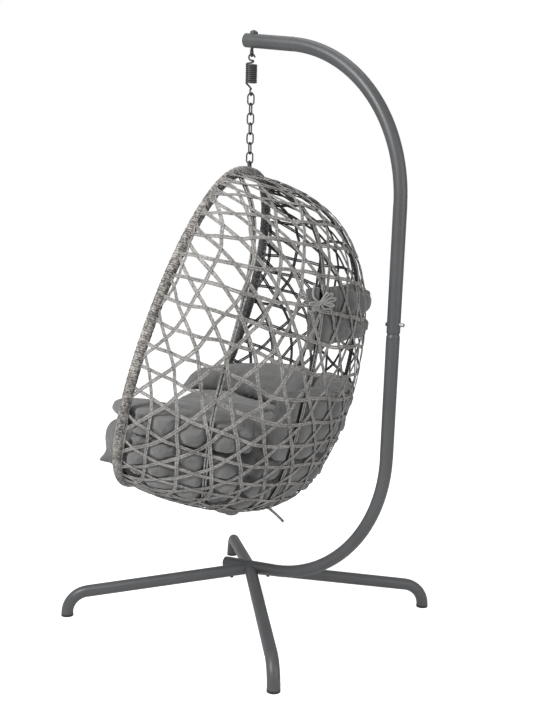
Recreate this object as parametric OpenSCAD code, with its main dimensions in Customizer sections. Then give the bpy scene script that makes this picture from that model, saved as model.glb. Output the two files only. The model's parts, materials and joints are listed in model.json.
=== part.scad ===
// Hanging egg chair: a woven, cushioned basket on a spring and chain, under a C-shaped tube
// stand with four legs. Millimetres, +Z up. The origin is on the floor under the middle of the
// whole chair; the post stands towards +Y and the mouth of the basket looks towards -Y.

/* [Stand] */
// Outer diameter of the stand's tubes
tube_d = 42; // [40:0.5:46]
// Wall of the stand's tubes
tube_wall = 2; // [1.5:0.1:2.5]
// Height of the arm's axis over the hanging point
arm_h = 1921; // [1850:1:2000]
// Fall of the arm from its tip towards the post, in degrees
arm_fall = 9; // [6:0.5:12]
// Length of the arm past the hanging axis
arm_end = 21; // [20:1:40]
// Distance from the hanging axis back to the post
reach = 573; // [560:1:620]
// Radius of the bend over the post
top_bend_r = 488; // [430:1:500]
// Radius of the bend under the post
low_bend_r = 470; // [420:1:480]
// Height of the bottom run's axis over the middle of the base
run_h = 169; // [165:1:180]
// Rise of the bottom run towards the post, in degrees
run_rise = 4.9; // [3:0.1:7]
// Length of the bottom run past the middle of the base
run_end = 108; // [100:1:130]
// Height of the joint between the two halves of the post
splice_h = 1036; // [900:1:1200]
// Length of the lower half that sits inside the upper half
splice_len = 80; // [70:1:120]
// Height of the post's bolt over that joint
splice_bolt_h = 26; // [20:1:32]
// Diameter of the post's bolt
splice_bolt_d = 8; // [6:1:9]

/* [Legs] */
// Distance from the middle of the base to the middle of each foot
foot_r = 644; // [580:1:680]
// Height of the legs' axes at the middle of the base
hub_h = 163; // [160:1:168]
// Fall of each leg outwards, in degrees
leg_fall = 7.4; // [6:0.1:9]
// Distance from the middle of the base to the end of each stub
stub_len = 100; // [95:1:120]
// Distance from the middle of the base to each leg's bolt
leg_bolt_r = 68; // [66:1:76]
// Diameter of the legs' bolts
leg_bolt_d = 6; // [5:1:8]
// Thickness of a foot cap under its tube
foot_cap_t = 8; // [5:0.5:12]

/* [Hanger] */
// Drop from the arm's axis to the wire at the bottom of the eye
eye_drop = 46; // [45:0.5:60]
// Wire of the eye
eye_wire = 6; // [5:0.5:6]
// Radius of the eye to the middle of its wire
eye_r = 10; // [10:0.5:11]
// Diameter of the eye's shank
shank_d = 10; // [8:0.5:12]
// Wire of the spring
spring_wire = 5.8; // [5:0.1:6]
// Outer diameter of the spring
spring_d = 38; // [34:1:44]
// Gap between the spring's turns
spring_gap = 0.5; // [0.45:0.05:1]
// Whole turns of the spring
spring_turns = 9; // [6:1:14]
// Radius of the spring's end hooks to the middle of the wire
hook_r = 9.5; // [9:0.5:10.5]
// Rise from the coil to the upper hook
hook_rise = 10.6; // [9:0.1:16]
// Drop from the coil to the lower hook
hook_drop = 17; // [9:0.1:24]
// Wire of the chain
link_wire = 5; // [4.5:0.1:5.5]
// Outer width of a link
link_w = 26; // [25:0.5:30]
// Outer length of a link
link_len = 40.5; // [38:0.5:50]
// Wire of the loop on top of the basket
loop_wire = 7; // [6:0.5:7]
// Radius of that loop to the middle of its wire
loop_r = 11; // [10:0.5:13]
// Height of that loop over the axis of the rim
loop_h = 33; // [32:0.5:40]

/* [Basket] */
// Turn of the basket away from the line of the arm, in degrees
basket_turn = 19.7; // [0:0.1:20]
// Width of the mouth between the axes of its sides
mouth_w = 920; // [860:5:940]
// Height of the mouth between the axes of its ends
mouth_h = 1075; // [1040:5:1090]
// How far forward the lower end of the mouth stands
mouth_run = 393; // [370:1:400]
// How far forward the bow of the mouth pulls its sides
mouth_bow = 260; // [230:1:280]
// How far the back reaches behind the hanging axis
back_depth = 400; // [380:1:410]
// How far the sides swell behind the mouth, in degrees of their curve
swell = 20; // [10:1:24]
// Thickness of the woven wall
wall_t = 4; // [3:0.5:5]
// Openings round the woven wall
holes_round = 24; // [16:2:24]
// Rows of openings from the rim to the middle of the back
holes_deep = 6; // [4:1:6]
// Width of the bars between the openings, as a share of their spacing
bar_share = 0.22; // [0.2:0.01:0.35]
// Outer diameter of the rim's steel tube
rim_d = 25; // [20:1:27]
// Wall of the rim's steel tube
rim_wall = 1.5; // [1:0.1:3]
// Outer diameter of the rim with its wrapping
wrap_d = 34; // [31:1:35]
// Diameter of the ribs
rib_d = 12; // [10:1:13]

/* [Cushions] */
// Greatest height of the seat cushion over its edge
seat_crown = 55; // [30:5:70]
// How far the seat cushion bulges out over the rim
seat_bulge = 125; // [40:1:140]
// Thickness of the arm and back pads
pad_t = 125; // [90:5:135]
// Thickness of the head pillow
pillow_t = 80; // [60:5:90]
// How far the sides of the pads draw in between their corners, as a share of their width
draw_in = 0.06; // [0:0.01:0.1]

/* [Fits] */
// Clearance between pieces that lie against each other
play = 0.3; // [0.2:0.05:0.4]
// Radial clearance of a bolt in its hole
bolt_play = 0.2; // [0.1:0.05:0.3]

/* [Hidden] */
$fn = 64;
tube_bore = tube_d - 2 * tube_wall;
spigot_d = tube_bore - 2 * play;
spigot_bore = spigot_d - 2 * tube_wall;
over = 1;
hub = [-20, -40, 0]; // middle of the base on the floor
hang_r = -40; // place of the hanging axis along the arm's plane, seen from the hub
leg_angles = [45, 135, 225, 315];
leg_names = ["leg_right_back", "leg_left_back", "leg_left_front", "leg_right_front"];

// Post, in the plane that holds the arm: x from the hub towards the post, y up
post_r = hang_r + reach;
top_bend_x = post_r - top_bend_r;
top_bend_y = arm_h - tan(arm_fall) * (top_bend_x - hang_r) - top_bend_r / cos(arm_fall);
low_bend_x = post_r - low_bend_r;
low_bend_y = run_h + tan(run_rise) * low_bend_x + low_bend_r / cos(run_rise);
arm_tip = [hang_r - arm_end * cos(arm_fall), arm_h + arm_end * sin(arm_fall)];
arm_foot = [top_bend_x + top_bend_r * sin(arm_fall), top_bend_y + top_bend_r * cos(arm_fall)];
run_tip = [-run_end * cos(run_rise), run_h - run_end * sin(run_rise)];
run_foot = [low_bend_x + low_bend_r * sin(run_rise), low_bend_y - low_bend_r * cos(run_rise)];
splice_gap = 4;
shoulder_h = 8;
bend_loss = 0.8; // what bending takes off the diameter of a tube
cap_t = 3;

// Legs, in the plane of each leg: x outwards, y up
leg_bend_r = (hub_h - tan(leg_fall) * foot_r - foot_cap_t)
    / (cos(leg_fall) - tan(leg_fall) * (1 - sin(leg_fall)));
leg_bend_x = foot_r - leg_bend_r * (1 - sin(leg_fall));
leg_bend_y = hub_h - tan(leg_fall) * leg_bend_x;
spigot_in = stub_len - 48;

// Heights on the hanging axis, from the arm down, each to the middle of a wire
eye_z = arm_h - eye_drop;
hook_top_z = eye_z + (eye_wire + spring_wire) / 2 + play;
coil_top_z = hook_top_z - 2 * hook_r - hook_rise;
coil_pitch = spring_wire + spring_gap;
coil_turns = spring_turns + 0.25;
coil_low_z = coil_top_z - coil_turns * coil_pitch;
hook_low_z = coil_low_z - hook_drop - 2 * hook_r;
link_top_z = hook_low_z + (spring_wire + link_wire) / 2 + play;
link_count = 7;
link_span = link_len - link_wire;
link_pitch = link_span - link_wire - play;
chain_low_z = link_top_z - (link_count - 1) * link_pitch - link_span;
loop_top_z = chain_low_z + (link_wire + loop_wire) / 2 + play;
rim_top_z = loop_top_z - loop_h;
coil_r = (spring_d - spring_wire) / 2;

// Basket, in its own frame: x forwards out of the mouth, y to its left, z up
mouth_path = [[0, rim_top_z], [mouth_bow, rim_top_z - 0.8 * mouth_h], [mouth_run, rim_top_z - mouth_h]];
back_shape = [[-0.08, 0.02], [-2.33, 0.08], [-0.4, 0.7], [-1.05, 1.29], [-0.3, 1.05]];
back_path = concat([mouth_path[0]],
    [for (p = back_shape) [p.x * back_depth, rim_top_z - p.y * mouth_h]], [mouth_path[2]]);
mouth_peak = 0.73;
mouth_round = 0.53;
flat_play = 2.5; // room for the flats of the wall, which lie inside its true curve
pad_inset = wall_t + flat_play + rib_d + 3 * play;
edge_play = 1.8; // room between the wall's edge and the rim's wrapping, for the flats of both
loop_sink = 1.5; // how far the flats of the wrapping fall away under the loop's legs
loop_foot = wrap_d / 2 + play - loop_sink - loop_h + loop_r;
// Where a rib lies on the wall: how far round its ends and its middle stand, how it goes from
// one to the other, and the room under it for the flats of the wall
rib_inner = [0.08, 0.315, 1.5, 1.3];
rib_outer = [0.2, 0.655, 0.75, 1.2];
on_wall = wall_t + flat_play + 2 * play;
on_rib = wall_t + rib_outer[3] + rib_d - 2 * play; // an arm pad's fullest part is off its rib
rim_rings = 64;
rim_sides = 8;
wall_middle = 0.9; // the middle of the back, which has no openings, starts this far in from the rim
rib_rings = 30;

// ---- helpers ----

function unit(v) = v / norm(v);
function bezier(p, t) = len(p) == 1 ? p[0]
    : bezier([for (i = [0:len(p) - 2]) p[i] * (1 - t) + p[i + 1] * t], t);

// Puts what is drawn in an upright plane through the hub, x outwards at this angle and y up
module upright(angle) translate(hub) rotate([90, 0, angle]) children();

// A round bar in the drawing plane from a to b
module bar(a, b, d) {
    v = b - a;
    translate([a.x, a.y, 0]) rotate([0, 0, atan2(v.y, v.x)]) rotate([0, 90, 0])
        cylinder(d = d, h = norm(v));
}

// A round bar bent in the drawing plane round a centre, from one angle on by another
module bent_bar(centre, r, from, turn, d) {
    translate([centre.x, centre.y, 0]) rotate([0, 0, from])
        rotate_extrude(angle = turn, $fn = 180) translate([r, 0]) circle(d = d, $fn = 64);
}

// Faces of a tube made of rings: open with flat ends, or closed on itself
function tube_faces(rings, sides, closed) = concat(
    [for (i = [0:rings - (closed ? 1 : 2)], j = [0:sides - 1])
        let (a = i * sides + j, b = i * sides + (j + 1) % sides, n = rings * sides)
        [a, (b + sides) % n, b]],
    [for (i = [0:rings - (closed ? 1 : 2)], j = [0:sides - 1])
        let (a = i * sides + j, b = i * sides + (j + 1) % sides, n = rings * sides)
        [a, (a + sides) % n, (b + sides) % n]],
    closed ? [] : [for (j = [1:sides - 2]) [0, j, j + 1]],
    closed ? [] : [for (j = [1:sides - 2], o = [(rings - 1) * sides]) [o, o + j + 1, o + j]]);

function tangents(p, closed) = let (n = len(p))
    [for (i = [0:n - 1]) closed ? unit(p[(i + 1) % n] - p[(i + n - 1) % n])
        : unit(p[min(i + 1, n - 1)] - p[max(i - 1, 0)])];

// A ring of points round a path's point, square to its direction, started at one side
function ring(p, dir, side, r, sides) =
    let (u = unit(side - (side * dir) * dir), v = cross(dir, u))
    [for (j = [0:sides - 1]) p + r * (cos(360 * j / sides) * u + sin(360 * j / sides) * v)];

// A tube swept along a path, with one side direction for each point
module swept(path, side, r, sides, closed = false) {
    dir = tangents(path, closed);
    polyhedron([for (i = [0:len(path) - 1]) each ring(path[i], dir[i], side[i], r, sides)],
        tube_faces(len(path), sides, closed));
}

// ---- stand ----

module post_plane() upright(90) children();

module upper_post_path(d, past) {
    u = unit(arm_foot - arm_tip);
    bar(arm_tip - past * u, arm_foot + over * u, d);
    bent_bar([top_bend_x, top_bend_y], top_bend_r, 0, 90 - arm_fall, d - bend_loss);
    bar([post_r, splice_h - past], [post_r, top_bend_y + over], d);
}

// Turns what is drawn along +Z from the origin onto the eye's shank, square to the arm
module along_shank() translate(hub + [0, hang_r, eye_z + 2 * eye_r]) rotate([-arm_fall, 0, 0]) children();

// A place on the post's upright axis, this far over the joint of its two halves
module at_splice(rise) translate(hub + [0, post_r, splice_h + rise]) children();

module upper_post() color("dimgray") difference() {
    post_plane() upper_post_path(tube_d, 0);
    post_plane() upper_post_path(tube_bore, over);
    along_shank() cylinder(d = shank_d + 2 * bolt_play, h = 2 * tube_d);
    post_bolt_hole();
}

module post_bolt_hole() at_splice(splice_bolt_h) rotate([90, 0, 0])
    cylinder(d = splice_bolt_d + 2 * bolt_play, h = 2 * tube_d, center = true);

module lower_post_path(d, past) {
    u = unit(run_foot - run_tip);
    bar(run_tip - past * u, run_foot + over * u, d);
    bent_bar([low_bend_x, low_bend_y], low_bend_r, run_rise - 90, 90 - run_rise, d - bend_loss);
    bar([post_r, low_bend_y - over], [post_r, splice_h - splice_gap - shoulder_h], d);
}

module lower_post() color("dimgray") difference() {
    union() {
        post_plane() lower_post_path(tube_d, 0);
        at_splice(-splice_gap - shoulder_h)
            cylinder(d1 = tube_d, d2 = spigot_d, h = shoulder_h);
        post_plane() bar([post_r, low_bend_y], [post_r, splice_h + splice_len], spigot_d);
    }
    post_plane() lower_post_path(tube_bore, over);
    post_plane() bar([post_r, low_bend_y], [post_r, splice_h + splice_len + over], spigot_bore);
    post_bolt_hole();
}

module stub_pair(side) color("dimgray") difference() {
    for (a = side > 0 ? [45, 315] : [135, 225]) upright(a) leg_line(0, stub_len, tube_d);
    for (a = side > 0 ? [45, 315] : [135, 225]) upright(a) leg_line(0, stub_len + over, tube_bore);
    post_plane() bar(run_tip, run_foot, tube_d + 2 * play);
    for (a = side > 0 ? [45, 315] : [135, 225]) leg_bolt_hole(a);
    translate(hub + [-side * tube_d * 2, 0, hub_h]) cube(tube_d * 4, center = true);
}

// A straight bar on a leg's falling axis, between two distances from the middle of the base
module leg_line(from, to, d) bar([from, hub_h - tan(leg_fall) * from],
    [to, hub_h - tan(leg_fall) * to], d);

module leg_bend(d) bent_bar([leg_bend_x - leg_bend_r * sin(leg_fall),
    leg_bend_y - leg_bend_r * cos(leg_fall)], leg_bend_r, 0, 90 - leg_fall, d - bend_loss);

module leg_bolt_hole(angle) upright(angle) translate([leg_bolt_r, hub_h - tan(leg_fall) * leg_bolt_r, 0])
    rotate([0, 0, -leg_fall]) rotate([90, 0, 0]) cylinder(d = leg_bolt_d + 2 * bolt_play, h = tube_d);

module leg(angle) color("dimgray") difference() {
    upright(angle) {
        leg_line(stub_len + play, leg_bend_x + over, tube_d);
        leg_line(spigot_in, leg_bend_x, spigot_d);
        leg_bend(tube_d);
    }
    upright(angle) {
        leg_line(stub_len + tube_wall, leg_bend_x + over, tube_bore);
        leg_line(spigot_in - over, leg_bend_x, spigot_bore);
        leg_bend(tube_bore);
    }
    leg_bolt_hole(angle);
}

module foot_caps() color("#202224") for (a = leg_angles) translate(hub) rotate(a) translate([foot_r, 0, 0]) {
    cylinder(d = tube_d, h = foot_cap_t);
    cylinder(d = tube_bore - bend_loss - 2 * play, h = foot_cap_t + 5);
}

module leg_bolts() color("#303234") for (a = leg_angles) upright(a)
    translate([leg_bolt_r, hub_h - tan(leg_fall) * leg_bolt_r, 0]) rotate([0, 0, -leg_fall])
    rotate([90, 0, 0]) {
        translate([0, 0, tube_d / 2 + play]) cylinder(d = 2 * leg_bolt_d, h = 4);
        translate([0, 0, tube_d / 2 - 10]) cylinder(d = leg_bolt_d, h = 12);
    }

// A plug with a flange and a domed face, drawn along +Z from a tube's end
module tube_plug() {
    translate([0, 0, -14]) cylinder(d = tube_bore - 2 * play, h = 14);
    cylinder(d = tube_d, h = cap_t);
    dome_r = 0.7 * tube_d;
    dome_rise = dome_r - sqrt(dome_r * dome_r - tube_d * tube_d / 4);
    intersection() {
        translate([0, 0, cap_t + dome_rise - dome_r]) sphere(r = dome_r);
        cylinder(d = tube_d, h = cap_t + dome_rise);
    }
}

module run_end_cap() color("#202224") post_plane() translate([run_tip.x, run_tip.y, 0])
    rotate([0, 0, 180 + run_rise]) rotate([0, 90, 0]) tube_plug();

module arm_end_cap() color("#3a3c3e") post_plane() translate([arm_tip.x, arm_tip.y, 0])
    rotate([0, 0, 180 - arm_fall]) rotate([0, 90, 0]) tube_plug();

module post_bolt() color("#303234") at_splice(splice_bolt_h)
    rotate([90, 0, 0]) {
        translate([0, 0, -tube_d / 2 - 11]) cylinder(d = splice_bolt_d, h = tube_d + 11 + play);
        translate([0, 0, tube_d / 2 + play]) cylinder(d = 1.7 * splice_bolt_d, h = 5, $fn = 6);
    }

module post_nut() color("silver") at_splice(splice_bolt_h)
    rotate([-90, 0, 0]) translate([0, 0, tube_d / 2 + play]) difference() {
        union() {
            cylinder(d = 1.7 * splice_bolt_d, h = 7, $fn = 6);
            translate([0, 0, 7]) cylinder(d = 1.4 * splice_bolt_d, h = 7);
        }
        translate([0, 0, -over]) cylinder(d = splice_bolt_d + 2 * bolt_play, h = 12.5);
    }

// ---- hanger ----

module in_basket() translate(hub + [0, hang_r, 0]) rotate([0, 0, basket_turn - 90]) children();

module eye_bolt() color("#4a4c50") {
    in_basket() translate([0, 0, eye_z + eye_r]) rotate([0, 90, 0]) rotate_extrude()
        translate([eye_r, 0]) circle(d = eye_wire, $fn = 48);
    along_shank() cylinder(d = shank_d, h = shank_len());
}

// From the top of the eye to just inside the dome nut
function shank_len() = (eye_drop - 2 * eye_r) / cos(arm_fall) + tube_d / 2 + 6;

module dome_nut() color("#3a3c3e") difference() {
    along_shank() translate([0, 0, shank_len() - 14]) {
        cylinder(d = 25, h = 13);
        intersection() {
            translate([0, 0, 3]) sphere(d = 30);
            cylinder(d = 25, h = 18);
        }
    }
    post_plane() bar(arm_tip, arm_foot, tube_d + 2 * play);
    along_shank() cylinder(d = shank_d + 2 * bolt_play, h = shank_len() + play);
}

// The wire of a spring's end, from the coil out to the tip of its hook: it winds in to the
// axis as it rises, goes round as a hook and ends straight
function spring_end(rise) = concat(
    [for (i = [1:6]) let (s = i / 7, a = 90 + 90 * s, r = coil_r * (1 - s * s))
        [r * cos(a), r * sin(a), rise * s * s * (3 - 2 * s)]],
    [for (a = [-90:20:150]) [hook_r * cos(a), 0, rise + hook_r + hook_r * sin(a)]],
    [[hook_r * cos(150) - spring_wire / 2, 0, rise + hook_r + hook_r * sin(150) - spring_wire * 0.87]]);

function spring_path() = let (
    up = [for (p = spring_end(hook_rise)) p + [0, 0, coil_top_z]],
    down = [for (p = spring_end(hook_drop)) [p.y, p.x, coil_low_z - p.z]],
    steps = 8 * spring_turns + 2)
    concat([for (i = [len(down) - 1:-1:0]) down[i]],
        [for (i = [0:steps]) let (a = 360 * i / 8)
            [coil_r * cos(a), coil_r * sin(a), coil_low_z + coil_pitch * i / 8]],
        up);

// Least gap between stretches of the wire that aren't neighbours
function self_gap(p, wire, skip) = min([for (i = [0:len(p) - skip - 1])
    min([for (j = [i + skip:len(p) - 1]) norm(p[i] - p[j])])]) - wire;

// Side directions carried along a path without twist
function carried(dir, first) = [for (i = 0, s = first; i < len(dir);
    s = unit(s - (s * dir[min(i + 1, len(dir) - 1)]) * dir[min(i + 1, len(dir) - 1)]), i = i + 1) s];

module spring() {
    path = spring_path();
    echo(str("least gap of the spring to itself: ", self_gap(path, spring_wire, 6)));
    color("#5a5c60") in_basket() swept(path, carried(tangents(path, false), [0, 1, 0.2]),
        spring_wire / 2, 6);
}

// One chain link, standing in the plane of x and z with the middle of its top wire at z = 0
module link() {
    r = (link_w - link_wire) / 2;
    rotate([90, 0, 0]) {
        translate([0, -r, 0]) bent_bar([0, 0], r, 0, 180, link_wire);
        translate([0, r - link_span, 0]) bent_bar([0, 0], r, 180, 180, link_wire);
        for (s = [-1, 1]) bar([s * r, r - link_span], [s * r, -r], link_wire);
    }
}

module chain_link(i) color("#5a5c60") in_basket()
    translate([0, 0, link_top_z - (i - 1) * link_pitch]) rotate([0, 0, i % 2 == 0 ? 90 : 0]) link();

module hanging_loop() color("#4a4c50") in_basket() translate([0, 0, loop_top_z - loop_r])
    rotate([90, 0, 90]) {
        bent_bar([0, 0], loop_r, 0, 180, loop_wire);
        for (s = [-1, 1]) bar([s * loop_r, loop_foot], [s * loop_r, 0], loop_wire);
    }

// ---- basket ----

function mouth_half(t) = mouth_w / 2
    * pow(max(0, sin(180 * pow(max(0, min(1, t)), mouth_peak))), mouth_round);

// A point of the wall: t runs from the top of the mouth (0) to its bottom (1), and u from the
// right side of the mouth (-1) round the back (0) to its left side (1)
function wall(t, u) = let (m = bezier(mouth_path, t), b = bezier(back_path, t), s = sin(swell),
    c = (m + s * b) / (1 + s), a = u * (90 + swell))
    [c.x + cos(a) * (b.x - c.x), sin(a) * mouth_half(t) / cos(swell), c.y + cos(a) * (b.y - c.y)];

function inward(t, u) = let (e = 0.002)
    unit(cross(wall(min(1, t + e), u) - wall(max(0, t - e), u), wall(t, u + e) - wall(t, u - e)));

function inset(t, u, d) = wall(t, u) + d * inward(t, u);

// The same wall by a spread from the middle of the back (0) to the rim (90), and a clock angle
// about it that starts at the top
function clock_t(spread, clock) = (1 - sin(spread) * cos(clock)) / 2;
function clock_u(spread, clock) = spread >= 90 ? (sin(clock) >= 0 ? 1 : -1)
    : atan2(sin(spread) * sin(clock), cos(spread)) / 90;
function clock_wall(spread, clock, d) = inset(clock_t(spread, clock), clock_u(spread, clock), d);

function rim_path() = [for (i = [0:rim_rings - 1]) let (c = 360 * i / rim_rings)
    wall(clock_t(90, c), clock_u(90, c))];
mouth_out = unit([mouth_h, 0, mouth_run]);

function far_from_segment(q, a, b) = let (v = b - a, s = max(0, min(1, (q - a) * v / (v * v))))
    norm(q - a - s * v);
function far_from_rim(q, rim) = min([for (i = [0:len(rim) - 1])
    far_from_segment(q, rim[i], rim[(i + 1) % len(rim)])]);

module rim_ring(d, sides) swept(rim_path(), [for (i = [0:rim_rings - 1]) mouth_out], d / 2, sides, true);

module rim_tube() color("#4a4c50") in_basket() difference() {
    rim_ring(rim_d, rim_sides);
    rim_ring(rim_d - 2 * rim_wall, rim_sides);
}

module rim_wrap() color("#8c8880") in_basket() difference() {
    rim_ring(wrap_d, rim_sides);
    rim_ring(rim_d + 2 * play, rim_sides);
}

// The widest spread at which the wall keeps its distance from the rim
function edge_spread(clock, rim, lo = 40, hi = 90, n = 10) = n == 0 ? lo
    : let (mid = (lo + hi) / 2)
      min([for (d = [0, wall_t]) far_from_rim(clock_wall(mid, clock, d), rim)]) > wrap_d / 2 + edge_play
        ? edge_spread(clock, rim, mid, hi, n - 1) : edge_spread(clock, rim, lo, mid, n - 1);

// Rings and columns of the wall are cut in threes: a bar, then the two halves of an opening.
// Towards the middle of the back, every other upright bar is left out
function is_open(k, i) = let (row = floor(k / 3), col = floor(i / 3)) row < holes_deep && k % 3 > 0
    && (i % 3 > 0 || (col % 2 == 1 && row >= holes_deep / 2));
function in_thirds(i, bar) = floor(i / 3) + [0, bar, (1 + bar) / 2][i % 3];

module woven_shell() {
    rim = rim_path();
    n = 3 * holes_round;
    rings = 3 * holes_deep + 1;
    clocks = [for (i = [0:n - 1]) 360 * (in_thirds(i, bar_share) - bar_share / 2) / holes_round];
    edge = [for (c = clocks) edge_spread(c, rim)];
    skin = [for (d = [0, wall_t], k = [0:rings - 1], i = [0:n - 1])
        clock_wall(edge[i] * (1 - wall_middle * in_thirds(k, bar_share) / holes_deep), clocks[i], d)];
    inner = rings * n;
    last = 2 * inner;
    // The two faces of the wall's thickness along an edge that has the wall on its left
    function side(p, q) = [[p, inner + q, inner + p], [p, q, inner + q]];
    color("#9c9890") in_basket() polyhedron(
        concat(skin, [clock_wall(0, 0, 0), clock_wall(0, 0, wall_t)]),
        concat(
            [for (k = [0:rings - 2], i = [0:n - 1]) if (!is_open(k, i)) for (o = [0, inner], h = [0, 1])
                let (a = o + k * n + i, b = o + k * n + (i + 1) % n,
                    f = i < n / 2
                        ? (h == 0 ? [a, b, b + n] : [a, b + n, a + n])
                        : (h == 0 ? [a, b, a + n] : [b, b + n, a + n]))
                o == 0 ? [f[2], f[1], f[0]] : f],
            [for (k = [0:rings - 2], i = [0:n - 1]) if (is_open(k, i))
                let (a = k * n + i, b = k * n + (i + 1) % n)
                each concat(
                    is_open(k, (i + n - 1) % n) ? [] : side(a, a + n),
                    is_open(k, (i + 1) % n) ? [] : side(b + n, b),
                    is_open(k - 1, i) ? [] : side(b, a),
                    is_open(k + 1, i) ? [] : side(a + n, b + n))],
            [for (i = [0:n - 1], o = [inner, last]) let (a = o - n + i, b = o - n + (i + 1) % n)
                o == inner ? [b, a, last] : [a, b, last + 1]],
            [for (i = [0:n - 1]) each side(i, (i + 1) % n)]));
}

function rib_inset(kind) = wall_t + kind[3] + rib_d / 2;
function rib_u(kind, t) = kind[0] + (kind[1] - kind[0]) * pow(sin(180 * t), kind[2]);
function rib_end(kind, side, rim, lo, hi, n = 12) = n == 0 ? hi
    : let (mid = (lo + hi) / 2, q = inset(mid, side * rib_u(kind, mid), rib_inset(kind)))
      far_from_rim(q, rim) > (wrap_d + rib_d) / 2 + play
        ? rib_end(kind, side, rim, lo, mid, n - 1) : rib_end(kind, side, rim, mid, hi, n - 1);

module rib(kind, side) {
    rim = rim_path();
    from = rib_end(kind, side, rim, 0.001, 0.3);
    to = rib_end(kind, side, rim, 0.999, 0.7);
    ts = [for (i = [0:rib_rings]) from + (to - from) * (1 - cos(180 * i / rib_rings)) / 2];
    color("#4a4c50") in_basket() swept([for (t = ts) inset(t, side * rib_u(kind, t), rib_inset(kind))],
        [for (t = ts) inward(t, side * rib_u(kind, t))], rib_d / 2, 8);
}

// ---- cushions ----

// A pad that lies along the inside of the wall: t and u bound it, and its middle is thickest.
// Its edges meet in a seam at half its thickness, and its sides draw in between the corners
pad_steps = 14;
function pad_swell(a, b) = sqrt(max(0, (1 - pow(abs(a), 4)) * (1 - pow(abs(b), 4))));
function pad_point(ts, us, a, b, thick, off, side) = let (
    a2 = a * (1 - draw_in * (1 - b * b)), b2 = b * (1 - draw_in * (1 - a * a)),
    t = (ts[0] + ts[1]) / 2 + a2 * (ts[1] - ts[0]) / 2,
    u = (us[0] + us[1]) / 2 + b2 * (us[1] - us[0]) / 2)
    inset(t, u, off + thick / 2 * (1 + side * pad_swell(a, b)));

module pad(ts, us, thick, off) {
    n = pad_steps;
    row = n + 1;
    grid = [for (side = [-1, 1], i = [0:n], j = [0:n])
        pad_point(ts, us, 2 * i / n - 1, 2 * j / n - 1, thick, off, side)];
    // The two faces share the points of the seam, which are those of the first face
    function seam(i, j, s) = (i == 0 || j == 0 || i == n || j == n ? 0 : s * row * row) + i * row + j;
    polyhedron(grid, [for (s = [0, 1], i = [0:n - 1], j = [0:n - 1], k = [0, 1])
        let (a = seam(i, j, s), b = seam(i, j + 1, s), c = seam(i + 1, j + 1, s), d = seam(i + 1, j, s),
            f = (i < n / 2) == (j < n / 2)
                ? (k == 0 ? [a, b, c] : [a, c, d])
                : (k == 0 ? [a, b, d] : [b, c, d]))
        s == 0 ? [f[2], f[1], f[0]] : f]);
}

// How far down and how far round the wall each pad lies
pad_span = [0.485, 0.605];
arm_pad_reach = [0.44, 1.2];
back_pad_reach = 0.385;
pillow_span = [0.327, 0.442];
pillow_reach = 0.34;
pillow_rise = -1; // the pillow's face is flatter than the back pad's, so it lies closer
module arm_pad(side) color("#6e7072") in_basket()
    pad(pad_span, side > 0 ? arm_pad_reach : [-arm_pad_reach[1], -arm_pad_reach[0]], pad_t, on_rib);
module back_pad() color("#6e7072") in_basket()
    pad(pad_span, [-back_pad_reach, back_pad_reach], pad_t, on_wall);
module head_pillow() color("#7c7e80") in_basket()
    pad(pillow_span, [-pillow_reach, pillow_reach], pillow_t, on_wall + pillow_rise);

// The seat cushion fills the bowl: each of its loops follows the wall round the back, and
// crosses the mouth in a bulge. Loops above the edge draw in to the crown
seat_t = [0.61, 0.955];
seat_reach = 0.9;
seat_loops = 12;
seat_back_points = 28;
seat_front_points = 16;
crown_loops = 5;
function seat_loop(t, bulge, gap) = let (us = seat_reach, n = seat_back_points, m = seat_front_points,
    p = inset(t, us, gap), q = inset(t, -us, gap))
    concat([for (i = [0:n]) inset(t, us - 2 * us * i / n, gap)],
        [for (i = [1:m - 1]) let (s = 2 * i / m - 1)
            q * (1 - i / m) + p * (i / m) + [bulge * (1 - pow(abs(s), 3)), 0, 0]]);
function mean(p) = [for (k = [0:2]) let (v = [for (q = p) q[k]]) (v * [for (q = p) 1]) / len(p)];

module seat_cushion() {
    n = seat_back_points + seat_front_points;
    rise = [for (i = [0:seat_loops]) i / seat_loops];
    body = [for (s = rise) let (t = seat_t[0] + (seat_t[1] - seat_t[0]) * s)
        seat_loop(t, seat_bulge * pow(sin(90 + 80 * (s - 0.15)), 2),
            pad_inset + 26 * pow(1 - min(1, s * 6), 2))];
    top_mid = mean(body[0]);
    crown = [for (k = [1:crown_loops - 1]) let (f = k / crown_loops)
        [for (p = body[0]) top_mid + (p - top_mid) * f + [0, 0, seat_crown * (1 - f * f)]]];
    loops = concat(crown, body);
    low_mid = mean(body[seat_loops]);
    count = len(loops);
    color("#8a8c8e") in_basket() polyhedron(
        concat([for (l = loops) each l], [top_mid + [0, 0, seat_crown], low_mid]),
        concat(
            [for (k = [0:count - 2], i = [0:n - 1])
                let (a = k * n + i, b = k * n + (i + 1) % n) [a, b, b + n]],
            [for (k = [0:count - 2], i = [0:n - 1])
                let (a = k * n + i, b = k * n + (i + 1) % n) [a, b + n, a + n]],
            [for (i = [0:n - 1]) [(i + 1) % n, i, count * n]],
            [for (i = [0:n - 1]) let (o = (count - 1) * n) [o + i, o + (i + 1) % n, count * n + 1]]));
}

// ---- nodes ----

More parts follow.
